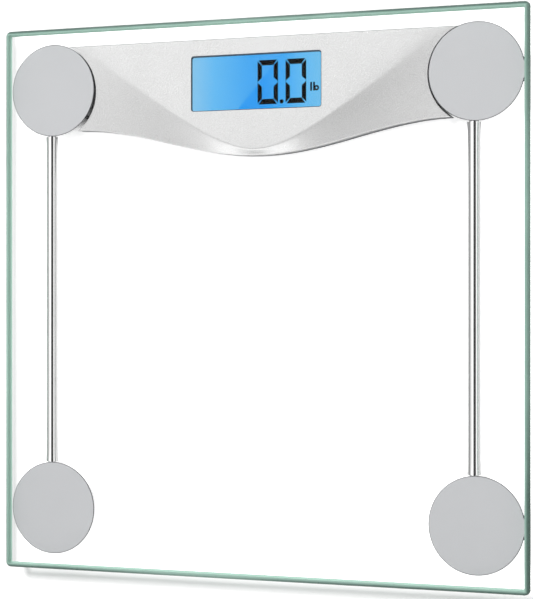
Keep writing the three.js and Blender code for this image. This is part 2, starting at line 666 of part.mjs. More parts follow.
const CELL_END = (BATTERY.body + BATTERY.nub) / 2; // from a cell's middle to either end

// Upright plate across a cell's end, set a little low so that it clears the cover.
function contactPlate(x, y, width) {
  const middle = BATTERY.z - 0.7;
  return box(CONTACT.thick, width, middle - CONTACT.side / 2, middle + CONTACT.side / 2, x, y);
}

// Flattened coil from the plate at x0 to the cell's end at x1.
function coil(x0, x1, y) {
  const perTurn = 10;
  const count = CONTACT.turns * perTurn;
  return bar(
    Array.from({ length: count + 1 }, (_, i) => {
      const turn = (2 * Math.PI * i) / perTurn;
      const r = CONTACT.coilR * (1 - (0.35 * i) / count);
      return [x0 + ((x1 - x0) * i) / count, y + r * Math.cos(turn), BATTERY.z + r * Math.sin(turn)];
    }),
    CONTACT.wire,
    4,
  );
}

function dimple(x, y, direction) {
  const bump = new THREE.CylinderGeometry(1, 1.8, 0.9, 12).rotateZ((-direction * Math.PI) / 2);
  return solid(bump.translate(x + direction * 0.45, y, BATTERY.z));
}

const [negativeY, positiveY] = BATTERY.ys;
const LEFT_PLATE_X = BATTERY.x - CELL_END - 2.3;
const RIGHT_PLATE_X = BATTERY.x + CELL_END + 1.85;

function contactNegative() {
  const tip = BATTERY.x - CELL_END - CONTACT.wire - 0.1;
  return contactPlate(LEFT_PLATE_X, negativeY - 0.7, 8.8).add(coil(LEFT_PLATE_X + 0.1, tip, negativeY));
}

function contactPositive() {
  const plate = contactPlate(LEFT_PLATE_X, positiveY + 0.7, 8.8);
  const boss = box(1.3, 4.4, BATTERY.z - 2.2, BATTERY.z + 2.2, LEFT_PLATE_X + 0.6, positiveY);
  return join([plate, boss, dimple(LEFT_PLATE_X + 1.1, positiveY, 1)]);
}

function contactBridge() {
  const tip = BATTERY.x + CELL_END + CONTACT.wire + 0.1;
  const width = CONTACT.side + positiveY - negativeY;
  const plate = contactPlate(RIGHT_PLATE_X, (negativeY + positiveY) / 2, width);
  return join([plate, coil(RIGHT_PLATE_X - 0.1, tip, positiveY), dimple(RIGHT_PLATE_X - 0.1, negativeY, -1)]);
}

// ---------------------------------------------------------------- assembly
place(scale, "glass_platform", glassPlate(), "glass");
place(scale, "display_cover", displayCover(), "cover");
place(scale, "display_base", displayBase(), "shell");
place(scale, "battery_door", batteryDoor(), "shell");
place(scale, "lcd_frame", lcdFrame(), "white");
place(scale, "lcd_panel", lcdPanel(), "lcd");
place(scale, "backlight_guide", backlightGuide(), "guide");
place(scale, "backlight_led", backlightLed(), "white");
place(scale, "contact_strip", contactStrip(), "black");
place(scale, "circuit_board", circuitBoard(), "board");
place(scale, "controller_chip", controllerChip(), "black");
place(scale, "unit_switch", unitSwitch(), "steel");
place(scale, "switch_plunger", switchPlunger(), "black");
place(scale, "unit_button", unitButton(), "white");
SCREWS.forEach((at, i) => place(scale, `housing_screw_${i + 1}`, housingScrew(at), "steel"));
place(scale, "battery_front", batteryCell(negativeY, 1), "battery");
place(scale, "battery_rear", batteryCell(positiveY, -1), "battery");
place(scale, "contact_negative", contactNegative(), "steel");
place(scale, "contact_positive", contactPositive(), "steel");
place(scale, "contact_bridge", contactBridge(), "steel");

export default scale;
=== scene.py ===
"""Glass-topped digital platform scale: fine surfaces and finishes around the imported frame.

Lengths of pieces are millimetres, and put() turns them into metres. Materials and the studio work in metres.
+Z is up and +Y is towards the display.
"""

import json
import math

import bmesh
import bpy
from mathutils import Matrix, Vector

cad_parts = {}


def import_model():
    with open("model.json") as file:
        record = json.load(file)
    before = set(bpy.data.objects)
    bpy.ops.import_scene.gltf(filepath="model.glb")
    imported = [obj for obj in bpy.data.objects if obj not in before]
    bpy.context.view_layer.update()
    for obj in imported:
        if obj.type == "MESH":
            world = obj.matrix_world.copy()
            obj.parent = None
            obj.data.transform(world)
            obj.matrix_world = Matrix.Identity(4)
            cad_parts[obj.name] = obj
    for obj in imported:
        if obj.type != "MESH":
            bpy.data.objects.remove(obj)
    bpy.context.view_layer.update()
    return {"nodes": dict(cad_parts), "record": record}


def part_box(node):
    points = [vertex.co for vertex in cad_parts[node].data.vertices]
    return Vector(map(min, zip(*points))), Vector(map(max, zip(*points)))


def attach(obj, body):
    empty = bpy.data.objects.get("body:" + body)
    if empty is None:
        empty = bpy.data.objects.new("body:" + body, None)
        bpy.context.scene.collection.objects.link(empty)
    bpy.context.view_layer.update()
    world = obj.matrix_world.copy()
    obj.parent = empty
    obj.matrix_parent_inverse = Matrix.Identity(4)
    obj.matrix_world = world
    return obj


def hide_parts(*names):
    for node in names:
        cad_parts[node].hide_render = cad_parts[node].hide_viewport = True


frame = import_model()
NODES = frame["nodes"]
MM = 0.001
SLOT_OF = {part["node"]: part["material_slot"] for part in frame["record"]["subparts"]}
FEET = ("front_left", "front_right", "rear_left", "rear_right")


def box_mm(node):
    """Lowest and highest corner of a CAD node, in millimetres."""
    low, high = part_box(node)
    return low / MM, high / MM


def axis_of(node):
    """Middle of a CAD node as seen from above, in millimetres."""
    low, high = box_mm(node)
    return (low.x + high.x) / 2, (low.y + high.y) / 2


# ------------------------------------------------------------------ mesh tools
WELD = 1e-5  # points closer than this are one point, in millimetres
SLIVER = 1e-6  # and an edge shorter than this is none


def mesh_object(name, verts, faces):
    mesh = bpy.data.meshes.new(name)
    mesh.from_pydata([tuple(v) for v in verts], [], faces)
    obj = bpy.data.objects.new(name, mesh)
    bpy.context.scene.collection.objects.link(obj)
    bm = bmesh.new()
    bm.from_mesh(mesh)
    bmesh.ops.remove_doubles(bm, verts=bm.verts, dist=WELD)
    bmesh.ops.dissolve_degenerate(bm, edges=bm.edges, dist=SLIVER)
    bmesh.ops.recalc_face_normals(bm, faces=bm.faces)
    bm.to_mesh(mesh)
    bm.free()
    return obj


def loft(name, rings, closed=True):
    """Skin over equal rings of points, capped at both ends unless the rings close on themselves."""
    size, count = len(rings[0]), len(rings)
    verts = [p for ring in rings for p in ring]
    faces = []
    for i in range(count - 1 if closed else count):
        a, b = i * size, (i + 1) % count * size
        for j in range(size):
            k = (j + 1) % size
            faces.append((a + j, a + k, b + k, b + j))
    if closed:
        faces.append(tuple(range(size)))
        faces.append(tuple(range((count - 1) * size, count * size)))
    return mesh_object(name, verts, faces)


def lathe(name, profile, at=(0, 0), steps=64, along="z"):
    """Profile of (radius, height) pairs turned about an upright axis, or about one along x or y."""
    turns = [2 * math.pi * i / steps for i in range(steps)]
    verts, rows = [], []
    for r, h in profile:
        ring = [(0.0, 0.0, h)] if r == 0 else [(r * math.cos(t), r * math.sin(t), h) for t in turns]
        rows.append(range(len(verts), len(verts) + len(ring)))
        verts += ring
    faces = []
    for low, high in zip(rows, rows[1:] + rows[:1]):
        for i in range(steps):
            k = (i + 1) % steps
            corners = [low[i % len(low)], low[k % len(low)], high[k % len(high)], high[i % len(high)]]
            face = tuple(dict.fromkeys(corners))
            if len(face) > 2:
                faces.append(face)
    if along == "x":
        verts = [(z, x, y) for x, y, z in verts]
    if along == "y":
        verts = [(y, z, x) for x, y, z in verts]
    return mesh_object(name, [Vector(v) + Vector((*at, 0)) for v in verts], faces)


def rounded_rect(w, d, r, at=(0, 0), steps=6):
    """Outline of a w by d rectangle about a point, its corners rounded to r."""
    points = []
    for corner in range(4):
        cx = at[0] + (w / 2 - r) * (1 if corner in (0, 3) else -1)
        cy = at[1] + (d / 2 - r) * (1 if corner < 2 else -1)
        for i in range(steps + 1):
            turn = (corner + i / steps) * math.pi / 2
            points.append((cx + r * math.cos(turn), cy + r * math.sin(turn)))
    return points


def prism(name, outline, z0, z1):
    return loft(name, [[(x, y, z) for x, y in outline] for z in (z0, z1)])


def applied(obj):
    """The object with its modifiers made into its mesh."""
    graph = bpy.context.evaluated_depsgraph_get()
    mesh = bpy.data.meshes.new_from_object(obj.evaluated_get(graph))
    obj.modifiers.clear()
    obj.data = mesh
    return obj


def boolean(obj, *others, operation="DIFFERENCE"):
    for other in others:
        modifier = obj.modifiers.new("cut", "BOOLEAN")
        modifier.object = other
        modifier.operation = operation
        modifier.solver = "EXACT"
        applied(obj)
        bpy.data.objects.remove(other)
    return obj


def soften(obj, width, segments=2, angle=40):
    """Rounds the sharp edges, as moulding or deburring leaves them, and shades the rest smooth."""
    if width:
        bevel = obj.modifiers.new("edges", "BEVEL")
        bevel.width = width
        bevel.segments = segments
        bevel.limit_method = "ANGLE"
        bevel.angle_limit = math.radians(angle)
        applied(obj)
    bm = bmesh.new()
    bm.from_mesh(obj.data)
    for face in bm.faces:
        face.smooth = True
    for edge in bm.edges:
        edge.smooth = edge.calc_face_angle(math.pi) < math.radians(angle)
    bm.to_mesh(obj.data)
    bm.free()
    weigh = obj.modifiers.new("shading", "WEIGHTED_NORMAL")
    weigh.keep_sharp = True
    weigh.weight = 100
    return obj


def put(obj, material, body, *stands_for, slot=None):
    """Scales a finished piece to metres, gives it its finish and lets it ride on its body."""
    for vertex in obj.data.vertices:
        vertex.co *= MM
    obj.data.materials.clear()
    obj.data.materials.append(material)
    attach(obj, body)
    if stands_for:
        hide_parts(*stands_for)


# ------------------------------------------------------------------ material tools
def new_material(name):
    material = bpy.data.materials.new(name)
    material.use_nodes = True
    tree = material.node_tree
    return material, tree, tree.nodes["Principled BSDF"]


def node(tree, kind, inputs=None, **settings):
    """A shader node with its settings and inputs. An input is a value or another node's output."""
    made = tree.nodes.new(kind)
    for key, value in settings.items():
        setattr(made, key, value)
    for key, value in (inputs or {}).items():
        socket = made.inputs[key]
        if isinstance(value, bpy.types.NodeSocket):
            tree.links.new(value, socket)
        else:
            socket.default_value = value
    return made


def grey(value):
    return (value, value, value, 1)


def tone(*screen):
    """Linear colour of a red, green and blue given as they look on a screen, 0 to 255."""
    parts = [v / 255 for v in screen]
    return (*(v / 12.92 if v <= 0.04045 else ((v + 0.055) / 1.055) ** 2.4 for v in parts), 1)


def math_node(tree, operation, a, b=0.0):
    return node(tree, "ShaderNodeMath", {0: a, 1: b}, operation=operation).outputs[0]


def ramp(tree, fac, stops, mode="LINEAR"):
    made = node(tree, "ShaderNodeValToRGB", {"Fac": fac})
    made.color_ramp.interpolation = mode
    elements = made.color_ramp.elements
    while len(elements) < len(stops):
        elements.new(0.5)
    for element, (position, color) in zip(elements, stops):
        element.position = position
        element.color = color if isinstance(color, tuple) else grey(color)
    return made.outputs["Color"]


def position(tree):
    """Place in the row frame at rest, in metres, which every piece's own mesh holds."""
    return node(tree, "ShaderNodeTexCoord").outputs["Object"]


def noise(tree, scale, detail=3.0, stretch=None):
    where = position(tree)
    if stretch:
        where = node(tree, "ShaderNodeVectorMath", {0: where, 1: stretch}, operation="MULTIPLY").outputs[0]
    inputs = {"Vector": where, "Scale": scale, "Detail": detail}
    return node(tree, "ShaderNodeTexNoise", inputs).outputs["Fac"]


def remap(tree, value, low, high, from_low=0.3, from_high=0.7):
    """Takes a value from one range to another and holds it there. The first range suits a noise."""
    made = node(
        tree,
        "ShaderNodeMapRange",
        {"Value": value, "From Min": from_low, "From Max": from_high, "To Min": low, "To Max": high},
    )
    return made.outputs["Result"]


def bump(tree, height, strength, distance):
    made = node(tree, "ShaderNodeBump", {"Height": height, "Strength": strength, "Distance": distance})
    return made.outputs["Normal"]


def mix_colour(tree, factor, a, b):
    """Colour a where the factor is 0, and b where it is 1."""
    return node(tree, "ShaderNodeMix", {"Factor": factor, "A": a, "B": b}, data_type="RGBA").outputs["Result"]


def mix_shader(tree, factor, a, b):
    """Shader a where the factor is 0, and b where it is 1."""
    return node(tree, "ShaderNodeMixShader", {0: factor, 1: a, 2: b}).outputs[0]


def surface(tree, shader):
    tree.links.new(shader, tree.nodes["Material Output"].inputs["Surface"])


def feed(tree, shader, **inputs):
    """Sets a shader's inputs, each named with _ for a space, to values or other nodes' outputs."""
    for key, value in inputs.items():
        socket = shader.inputs[key.replace("_", " ")]
        if isinstance(value, bpy.types.NodeSocket):
            tree.links.new(value, socket)
        else:
            socket.default_value = value


def surfaced(name, dark, light, roughness, grain, depth, metallic=0.0, stretch=None, **more):
    """A solid finish: two near colours mixed by a soft cloud, with grain in its roughness and its height."""
    material, tree, shader = new_material(name)
    cloud = remap(tree, noise(tree, 35, 4), 0, 1)
    fine = noise(tree, grain, 2, stretch)
    feed(
        tree,
        shader,
        Base_Color=mix_colour(tree, cloud, dark, light),
        Roughness=remap(tree, fine, roughness * 0.85, roughness * 1.15),
        Metallic=metallic,
        Normal=bump(tree, fine, 0.35, depth),
        **more,
    )
    return material


# ------------------------------------------------------------------ materials
def pass_light(tree, shader):
    """Lets light from lamps and from pale surroundings pass as it does through clear glass."""
    path = node(tree, "ShaderNodeLightPath")
    clear = node(tree, "ShaderNodeBsdfTransparent").outputs[0]
    for ray in ("Is Shadow Ray", "Is Diffuse Ray", "Is Glossy Ray"):
        shader = mix_shader(tree, path.outputs[ray], shader, clear)
    surface(tree, shader)


def clear_glass():
    """Clear plate with a low reflection, very slightly rippled as tempered glass is."""
    material, tree, shader = new_material("clear_glass")
    feed(
        tree,
        shader,
        Base_Color=(0.998, 1.0, 0.999, 1),
        Roughness=remap(tree, noise(tree, 60, 3), 0.0, 0.002),
        IOR=1.5,
        Specular_Tint=grey(0.2),
        Transmission_Weight=1.0,
        Normal=bump(tree, noise(tree, 14, 1), 0.02, 0.00001),
    )
    pass_light(tree, shader.outputs[0])
    return material


# The ground edge's colours by depth, 0 where it meets the flat and 1 at its outermost. The deep colours darken
# towards the outside as painted shade of the round.
EDGE_INNER = [(0.0, tone(140, 168, 158)), (0.2, tone(144, 172, 161))]
EDGE_PALE = [*EDGE_INNER, (0.5, tone(148, 177, 166)), (0.66, tone(142, 171, 160)), (1.0, tone(136, 164, 153))]
EDGE_DEEP_SHADED = [*EDGE_INNER, (0.42, tone(126, 154, 143)), (0.58, tone(86, 109, 101)), (1.0, tone(78, 99, 91))]
# Painted paler tone, for the round where it is seen from inside the plate.
EDGE_WITHIN = tone(168, 198, 186)  # seen from inside the plate
EDGE_SHADOW = (0.34, 0.37, 0.355, 1)  # the light that it lets through
# How much of the deep colour shows: at the corners, in clouds along the edge, and along the front and rear as
# painted shade.
EDGE_CORNER = {"more": 0.7, "from": 0.05, "to": 0.12}
EDGE_CLOUD = {"more": 0.45, "scale": 9}
EDGE_FRONT_SHADE = 0.4


def shaded_edge_share(tree, reach):
    """Share of the deep colour with its painted shade, from the distances of a point from the plate's two
    centre lines.
    """
    away = math_node(tree, "MINIMUM", *reach)
    corner = remap(tree, away, 0, EDGE_CORNER["more"], EDGE_CORNER["from"], EDGE_CORNER["to"])
    cloud = remap(tree, noise(tree, EDGE_CLOUD["scale"], 2), 0, EDGE_CLOUD["more"], 0.4, 0.6)
    # Painted shade: more of the deep colour along the front and rear edges.
    front = math_node(tree, "MULTIPLY", math_node(tree, "GREATER_THAN", reach[1], reach[0]), EDGE_FRONT_SHADE)
    total = math_node(tree, "ADD", math_node(tree, "ADD", corner, cloud), front)
    return math_node(tree, "MINIMUM", total, 1.0)


def green_edge(half, width):
    """The ground edge with painted shading: pale inside, darker outside as painted shade, uneven along its
    length, and painted paler where it is seen from inside the plate.
    """
    material, tree, shader = new_material("green_edge")
    parts = node(tree, "ShaderNodeSeparateXYZ", {0: position(tree)})
    reach = [math_node(tree, "ABSOLUTE", parts.outputs[i]) for i in (0, 1)]
    depth = remap(tree, math_node(tree, "MAXIMUM", *reach), 0, 1, (half - width) * MM, half * MM)
    streak = remap(tree, noise(tree, 40, 3), -0.05, 0.05)
    across = math_node(tree, "ADD", depth, streak)
    pale, deep = (ramp(tree, across, stops) for stops in (EDGE_PALE, EDGE_DEEP_SHADED))
    outside = mix_colour(tree, shaded_edge_share(tree, reach), pale, deep)
    within = node(tree, "ShaderNodeNewGeometry").outputs["Backfacing"]
    feed(
        tree,
        shader,
        Base_Color=mix_colour(tree, within, outside, EDGE_WITHIN),
        Roughness=remap(tree, noise(tree, 400, 2), 0.25, 0.4),
        Specular_IOR_Level=0.15,
        Normal=bump(tree, noise(tree, 160, 2), 0.12, 0.0001),
    )
    tint = node(tree, "ShaderNodeBsdfTransparent", {"Color": EDGE_SHADOW}).outputs[0]
    path = node(tree, "ShaderNodeLightPath")
    surface(tree, mix_shader(tree, path.outputs["Is Shadow Ray"], shader.outputs[0], tint))
    return material


# The display's blues across its width, on either side of the slanting edge of a painted reflection, lighter on
# its left.
LCD_LEFT = [(0.03, tone(130, 192, 228)), (0.2, tone(92, 180, 234)), (0.44, tone(58, 161, 233))]
LCD_RIGHT = [
    (0.56, tone(24, 148, 234)),
    (0.69, tone(54, 162, 235)),
    (0.81, tone(86, 178, 234)),
    (0.95, tone(106, 186, 230)),
]
# The painted reflection's edge crosses mid-height at x from the middle and moves by lean in x for each unit of
# y.
PAINTED_REFLECTION = {"x": 2.2, "lean": 0.89, "soft": 0.25}


def lcd_blue(low, high):
    """Backlit display: paler towards both ends, with the slanting edge of a painted reflection across its
    middle.
    """
    material, tree, shader = new_material("lcd_blue")
    parts = node(tree, "ShaderNodeSeparateXYZ", {0: position(tree)})
    across = remap(tree, parts.outputs[0], 0, 1, low.x * MM, high.x * MM)
    left, right = (ramp(tree, across, stops) for stops in (LCD_LEFT, LCD_RIGHT))
    rise = math_node(tree, "SUBTRACT", parts.outputs[1], (low.y + high.y) / 2 * MM)
    lean = math_node(tree, "MULTIPLY", rise, PAINTED_REFLECTION["lean"])
    along = math_node(tree, "SUBTRACT", parts.outputs[0], lean)
    middle, soft = (low.x + high.x) / 2 + PAINTED_REFLECTION["x"], PAINTED_REFLECTION["soft"]
    # Painted reflection: the colour changes from the left blues to the right blues along a slanting line.
    side = remap(tree, along, 0, 1, (middle - soft) * MM, (middle + soft) * MM)
    feed(
        tree,
        shader,
        Base_Color=tone(20, 40, 60),
        Specular_IOR_Level=0.1,
        Roughness=remap(tree, noise(tree, 900, 2), 0.08, 0.12),
        Emission_Color=mix_colour(tree, side, left, right),
        Emission_Strength=remap(tree, noise(tree, 260, 2), 0.96, 0.99),
        Normal=bump(tree, noise(tree, 30, 1), 0.05, 0.00002),
    )
    return material


def circuit_green():
    """Solder mask over a faint net of copper tracks."""
    material, tree, shader = new_material("circuit_green")
    tracks = node(tree, "ShaderNodeTexBrick", {"Vector": position(tree), "Scale": 160, "Mortar Size": 0.03})
    tracks.inputs["Color1"].default_value = (0.010, 0.085, 0.040, 1)
    tracks.inputs["Color2"].default_value = (0.012, 0.100, 0.048, 1)
    tracks.inputs["Mortar"].default_value = (0.020, 0.150, 0.070, 1)
    feed(
        tree,
        shader,
        Base_Color=tracks.outputs["Color"],
        Roughness=remap(tree, noise(tree, 500, 2), 0.25, 0.4),
        Normal=bump(tree, tracks.outputs["Fac"], 0.2, 0.00005),
    )
    return material


def battery_jacket(name, low, high, nub_side):
    """Printed sleeve: a dark body, a copper band at the positive end and bare metal ends."""
    material, tree, shader = new_material(name)
    parts = node(tree, "ShaderNodeSeparateXYZ", {0: position(tree)})
    ends = (low.x * MM, high.x * MM) if nub_side > 0 else (high.x * MM, low.x * MM)
    along = remap(tree, parts.outputs[0], 0, 1, *ends)
    steel, jacket, copper = (0.55, 0.55, 0.56, 1), (0.020, 0.024, 0.030, 1), (0.42, 0.17, 0.06, 1)
    stops = [(0.0, steel), (0.018, jacket), (0.70, copper), (0.955, steel)]
    mask = ramp(tree, along, [(0.0, 1.0), (0.018, 0.35), (0.70, 0.75), (0.955, 1.0)], "CONSTANT")
    feed(
        tree,
        shader,
        Base_Color=ramp(tree, along, stops, "CONSTANT"),
        Metallic=mask,
        Roughness=remap(tree, noise(tree, 300, 3), 0.22, 0.34),
        Normal=bump(tree, noise(tree, 220, 2), 0.1, 0.00005),
    )
    return material


# Painted shade on the disc's rim: how squarely a face looks up where it is all shaded and where it is all foil,
# and the shade's colour.
PAINTED_RIM_SHADE = {"dark": 0.94, "foil": 0.99, "colour": tone(84, 85, 87)}


def disc_foil():
    """Matte silver foil, with painted shade where its rim turns down."""
    material = surfaced(
        "matte_foil", tone(172, 173, 175), tone(174, 175, 177), 0.7, 3200, 0.00001, Specular_IOR_Level=0.2
    )
    tree = material.node_tree
    shader = tree.nodes["Principled BSDF"]
    face = shader.inputs["Base Color"].links[0].from_socket
    normal = node(tree, "ShaderNodeNewGeometry").outputs["True Normal"]
    up = node(tree, "ShaderNodeSeparateXYZ", {0: normal}).outputs[2]
    # Painted shade: faces that turn down at the rim take the dark colour.
    rim = remap(tree, up, 1, 0, PAINTED_RIM_SHADE["dark"], PAINTED_RIM_SHADE["foil"])
    feed(tree, shader, Base_Color=mix_colour(tree, rim, face, PAINTED_RIM_SHADE["colour"]))
    return material


# By slot: name, two near colours, roughness, scale of the grain, its height in metres, and what differs.
FINISH = {
    "silver_cover": surfaced("satin_silver", grey(0.56), grey(0.58), 0.3, 2600, 0.00001, metallic=0.75),
    "disc_foil": disc_foil(),
    "grey_shell": surfaced("moulded_graphite", tone(84, 86, 89), tone(90, 92, 95), 0.5, 1500, 0.00004),
    "bright_tube": surfaced("bright_plate", grey(0.86), grey(0.90), 0.07, 900, 0.000004, metallic=1.0),
    "cell_steel": surfaced("zinc_steel", grey(0.46), grey(0.56), 0.34, 700, 0.00001, 1.0, (1.0, 0.05, 1.0)),
    "white_plastic": surfaced(
        "white_moulding", (0.74, 0.74, 0.70, 1), (0.78, 0.78, 0.75, 1), 0.45, 1400, 0.00003
    ),
    "grip_rubber": surfaced("grip_rubber", grey(0.016), grey(0.026), 0.78, 1100, 0.00006),
    "black_plastic": surfaced("black_plastic", grey(0.006), grey(0.010), 0.35, 1300, 0.00003),
    "lcd_ink": surfaced("lcd_ink", grey(0.001), grey(0.002), 0.7, 1300, 0.00001, Specular_IOR_Level=0.0),
    "mask_ink": surfaced(
        "mask_ink", tone(52, 66, 78), tone(60, 76, 90), 0.6, 800, 0.00001, Specular_IOR_Level=0.1
    ),
    "light_guide": surfaced("light_guide", (0.80, 0.88, 0.95, 1), (0.86, 0.93, 0.98, 1), 0.2, 900, 0.00002),
    "lead_sheath": surfaced("lead_sheath", grey(0.028), grey(0.040), 0.5, 600, 0.00003),
    "green_board": circuit_green(),
}


# ------------------------------------------------------------------ glass plate
# Corner radius, width of the ground round, and how squarely a face looks up where the glass is still clear.
PLATE = {"corner": 3.0, "edge": 2.96, "clear": 0.97, "steps": 18}
FLAT = 8  # a face with more corners than this is one of the plate's two flats


def glass_plate():
    """Square plate with its whole edge ground to a round. The flats and the round take their own finish."""
    low, high = box_mm("glass_platform")
    half, middle, rise = high.x, (low.z + high.z) / 2, (high.z - low.z) / 2
    rings = []
    for i in range(PLATE["steps"] + 1):
        turn = (i / PLATE["steps"] - 0.5) * math.pi
        inset = PLATE["edge"] * (1 - math.cos(turn))
        outline = rounded_rect(2 * (half - inset), 2 * (half - inset), PLATE["corner"] - inset, steps=8)
        rings.append([(x, y, middle + rise * math.sin(turn)) for x, y in outline])
    obj = loft("glass_plate", rings)
    soften(obj, 0, angle=60)
    put(obj, clear_glass(), "platform", "glass_platform")
    obj.data.materials.append(green_edge(half, PLATE["edge"]))
    for face in obj.data.polygons:
        face.material_index = 0 if face.normal.z > PLATE["clear"] or len(face.vertices) > FLAT else 1


# ------------------------------------------------------------------ display housing
# Outline from above: a straight rear, a front that bellies towards the middle, and ends cut round the feet.
HOUSING = {"rear": 139.8, "front_end": 93.4, "belly": 16.8, "half_span": 109.0, "end_r": 26.2, "end_y": 115.3}
SHELL = {"wall": 1.6, "roof": 1.5}
THROUGH = (-5, 40)  # heights from well below the housing to well above it, for what cuts right through it
# The ridge where the cover starts to fall: its lowest place, its round, its slope, and how far the front drops.
RIDGE = {"low": 79.8, "round": 20.3, "slope": 0.74, "drop": 3.6}
# How softly the cover folds along its ridge: in the middle, and how much more at a distance from it.
FOLD = {"middle": 0.35, "more": 6.0, "at": 105}
FOLD_STEPS = (-1.0, -0.5, -0.2, 0.0, 0.2, 0.5, 1.0)  # rows of points about the ridge
SCREEN = {"w": 75.0, "d": 30.0, "r": 1.5}
COVER_SPAN = 112  # half of the length lofted before the ends are cut
EDGE_R = 0.6  # rounding along the cover's front and rear edges
# Where the leads come in, from the rear foot's axis towards the middle and the front.
NOTCH = {"x": 21.9, "y": 17.4, "w": 9.0, "d": 4.4, "low": 8.0, "top": 14.4, "turn": 0.6}


def front_edge(x):
    """Where the front edge runs, as one wave of a cosine between two straight ends."""
    x = max(-HOUSING["half_span"], min(HOUSING["half_span"], x))
    return HOUSING["front_end"] - HOUSING["belly"] * (1 + math.cos(math.pi * x / HOUSING["half_span"])) / 2


def ridge_line(x):
    """Where the ridge runs, as a hyperbola open to the rear."""
    return RIDGE["low"] - RIDGE["round"] + math.hypot(RIDGE["round"], RIDGE["slope"] * x)


def cover_height(x, y, top):
    """The cover's upper surface: flat behind the ridge and falling away in front of it."""
    ridge, front = ridge_line(x), front_edge(x)
    beyond = ridge - y
    soft = FOLD["middle"] + FOLD["more"] * (x / FOLD["at"]) ** 2
    reach = (beyond + math.hypot(beyond, soft)) / 2
    return top - RIDGE["drop"] / (ridge - front) * reach


def cover_solid(name, inset, z0, top, edge_r=0.0):
    """Solid under the cover's surface, drawn in by inset at the front and rear. The ends are cut later."""
    turns = [math.pi / 2 * k / 4 for k in range(4)] if edge_r else []
    rings = []
    for x in range(-COVER_SPAN, COVER_SPAN + 1):
        front, rear, ridge = front_edge(x) + inset, HOUSING["rear"] - inset, ridge_line(x)
        first, last = front + edge_r, rear - edge_r
        fold = min(max(ridge, first + 1.2), last - 1.2)
        before, after = fold + FOLD_STEPS[0], fold + FOLD_STEPS[-1]
        ys = [first + (before - first) * k / 8 for k in range(8)]
        ys += [fold + step for step in FOLD_STEPS]
        ys += [after + (last - after) * k / 6 for k in range(1, 7)]
        upper = [(x, y, cover_height(x, y, top)) for y in ys]
        drops = [(edge_r * (1 - math.cos(t)), edge_r * (1 - math.sin(t))) for t in turns]
        start = [(x, front + reach, upper[0][2] - drop) for reach, drop in drops]
        end = [(x, rear - reach, upper[-1][2] - drop) for reach, drop in reversed(drops)]
        rings.append([(x, front, z0), *start, *upper, *end, (x, rear, z0)])
    return loft(name, rings)


def end_cutters(r):
    """Upright cylinders about the rear feet, which shape the housing's hollow ends."""
    low, high = THROUGH
    centres = [(axis_of(f"foot_cup_rear_{side}")[0], HOUSING["end_y"]) for side in ("left", "right")]
    return [lathe("end_cut", [(0, low), (r, low), (r, high), (0, high)], centre, 96) for centre in centres]


def block(name, size, at, turn=0.0):
    """Box of a length, width and height about a centre, turned about its upright axis."""
    w, d, h = (v / 2 for v in size)
    c, s = math.cos(turn), math.sin(turn)
    corners = ((w, d), (-w, d), (-w, -d), (w, -d))
    outline = [(at[0] + c * x - s * y, at[1] + s * x + c * y) for x, y in corners]
    return prism(name, outline, at[2] - h, at[2] + h)


def lead_notch(side):
    """Notch in the housing's end wall, where two leads come in from the rear cup."""
    x, y = axis_of(f"foot_cup_rear_{'left' if side < 0 else 'right'}")
    depth = NOTCH["top"] - NOTCH["low"]
    at = (x - side * NOTCH["x"], y - NOTCH["y"], NOTCH["top"] - depth / 2)
    return block("lead_notch", (NOTCH["w"], NOTCH["d"], depth), at, NOTCH["turn"] * side)


def display_cover():
    low, high = box_mm("display_cover")
    outer = cover_solid("display_cover_skin", 0, low.z, high.z, EDGE_R)
    boolean(outer, *end_cutters(HOUSING["end_r"]))
    core = cover_solid("core", SHELL["wall"], low.z - 1, high.z - SHELL["roof"])
    boolean(core, *end_cutters(HOUSING["end_r"] + SHELL["wall"]))
    opening = rounded_rect(SCREEN["w"], SCREEN["d"], SCREEN["r"], axis_of("lcd_panel"))
    window = prism("window", opening, *THROUGH)
    boolean(outer, core, window, *(lead_notch(side) for side in (-1, 1)))
    soften(outer, 0.18, 2, 35)
    put(outer, FINISH["silver_cover"], "platform", "display_cover")


# ------------------------------------------------------------------ display
DIGIT = {"w": 11.7, "h": 23.6, "across": 2.5, "up": 2.85, "gap": 0.16, "corner": 0.4}
# Lower left corners of the two digits, and the decimal point, from the display's centre.
DIGITS = {"x": (0.75, 16.75), "y": -12.4}
POINT = {"x": 14.5, "y": -11.2, "r": 1.15}
UNIT = {"x": 30.7, "y": -6.2, "tall": 4.6, "bold": 1.0, "step": 1.65, "bowl": 1.45}
INK = 0.03  # thickness of the display's marks
# Width of the lining's sides and of its rear, and its gaps to the window's wall, to the display below
# and to the cover's top.
LINING = {"side": 0.3, "rear": 0.75, "gap": 0.05, "rise": 0.04, "below": 0.06}


def segment_shapes(x0, y0):
    """The six outer segments of a seven-segment digit, mitred where they meet, as flat outlines."""
    x1, y1, ym = x0 + DIGIT["w"], y0 + DIGIT["h"], y0 + DIGIT["h"] / 2
    gap, corner = DIGIT["gap"], DIGIT["corner"]
    xi, yi, ymi = x0 + DIGIT["across"], y1 - DIGIT["up"], ym + gap + 0.8 * DIGIT["up"]
    upper = [(x0 + corner + gap, y1), (x1 - corner - gap, y1), (x0 + x1 - xi - gap, yi), (xi + gap, yi)]
    left = [(x0, y1 - corner - gap), (xi, yi - gap), (xi, ymi), (x0, ym + gap)]

    def flip_x(shape):
        return [(x0 + x1 - x, y) for x, y in shape]

    def flip_y(shape):
        return [(x, y0 + y1 - y) for x, y in shape]

    return [upper, flip_y(upper), left, flip_y(left), flip_x(left), flip_x(flip_y(left))]


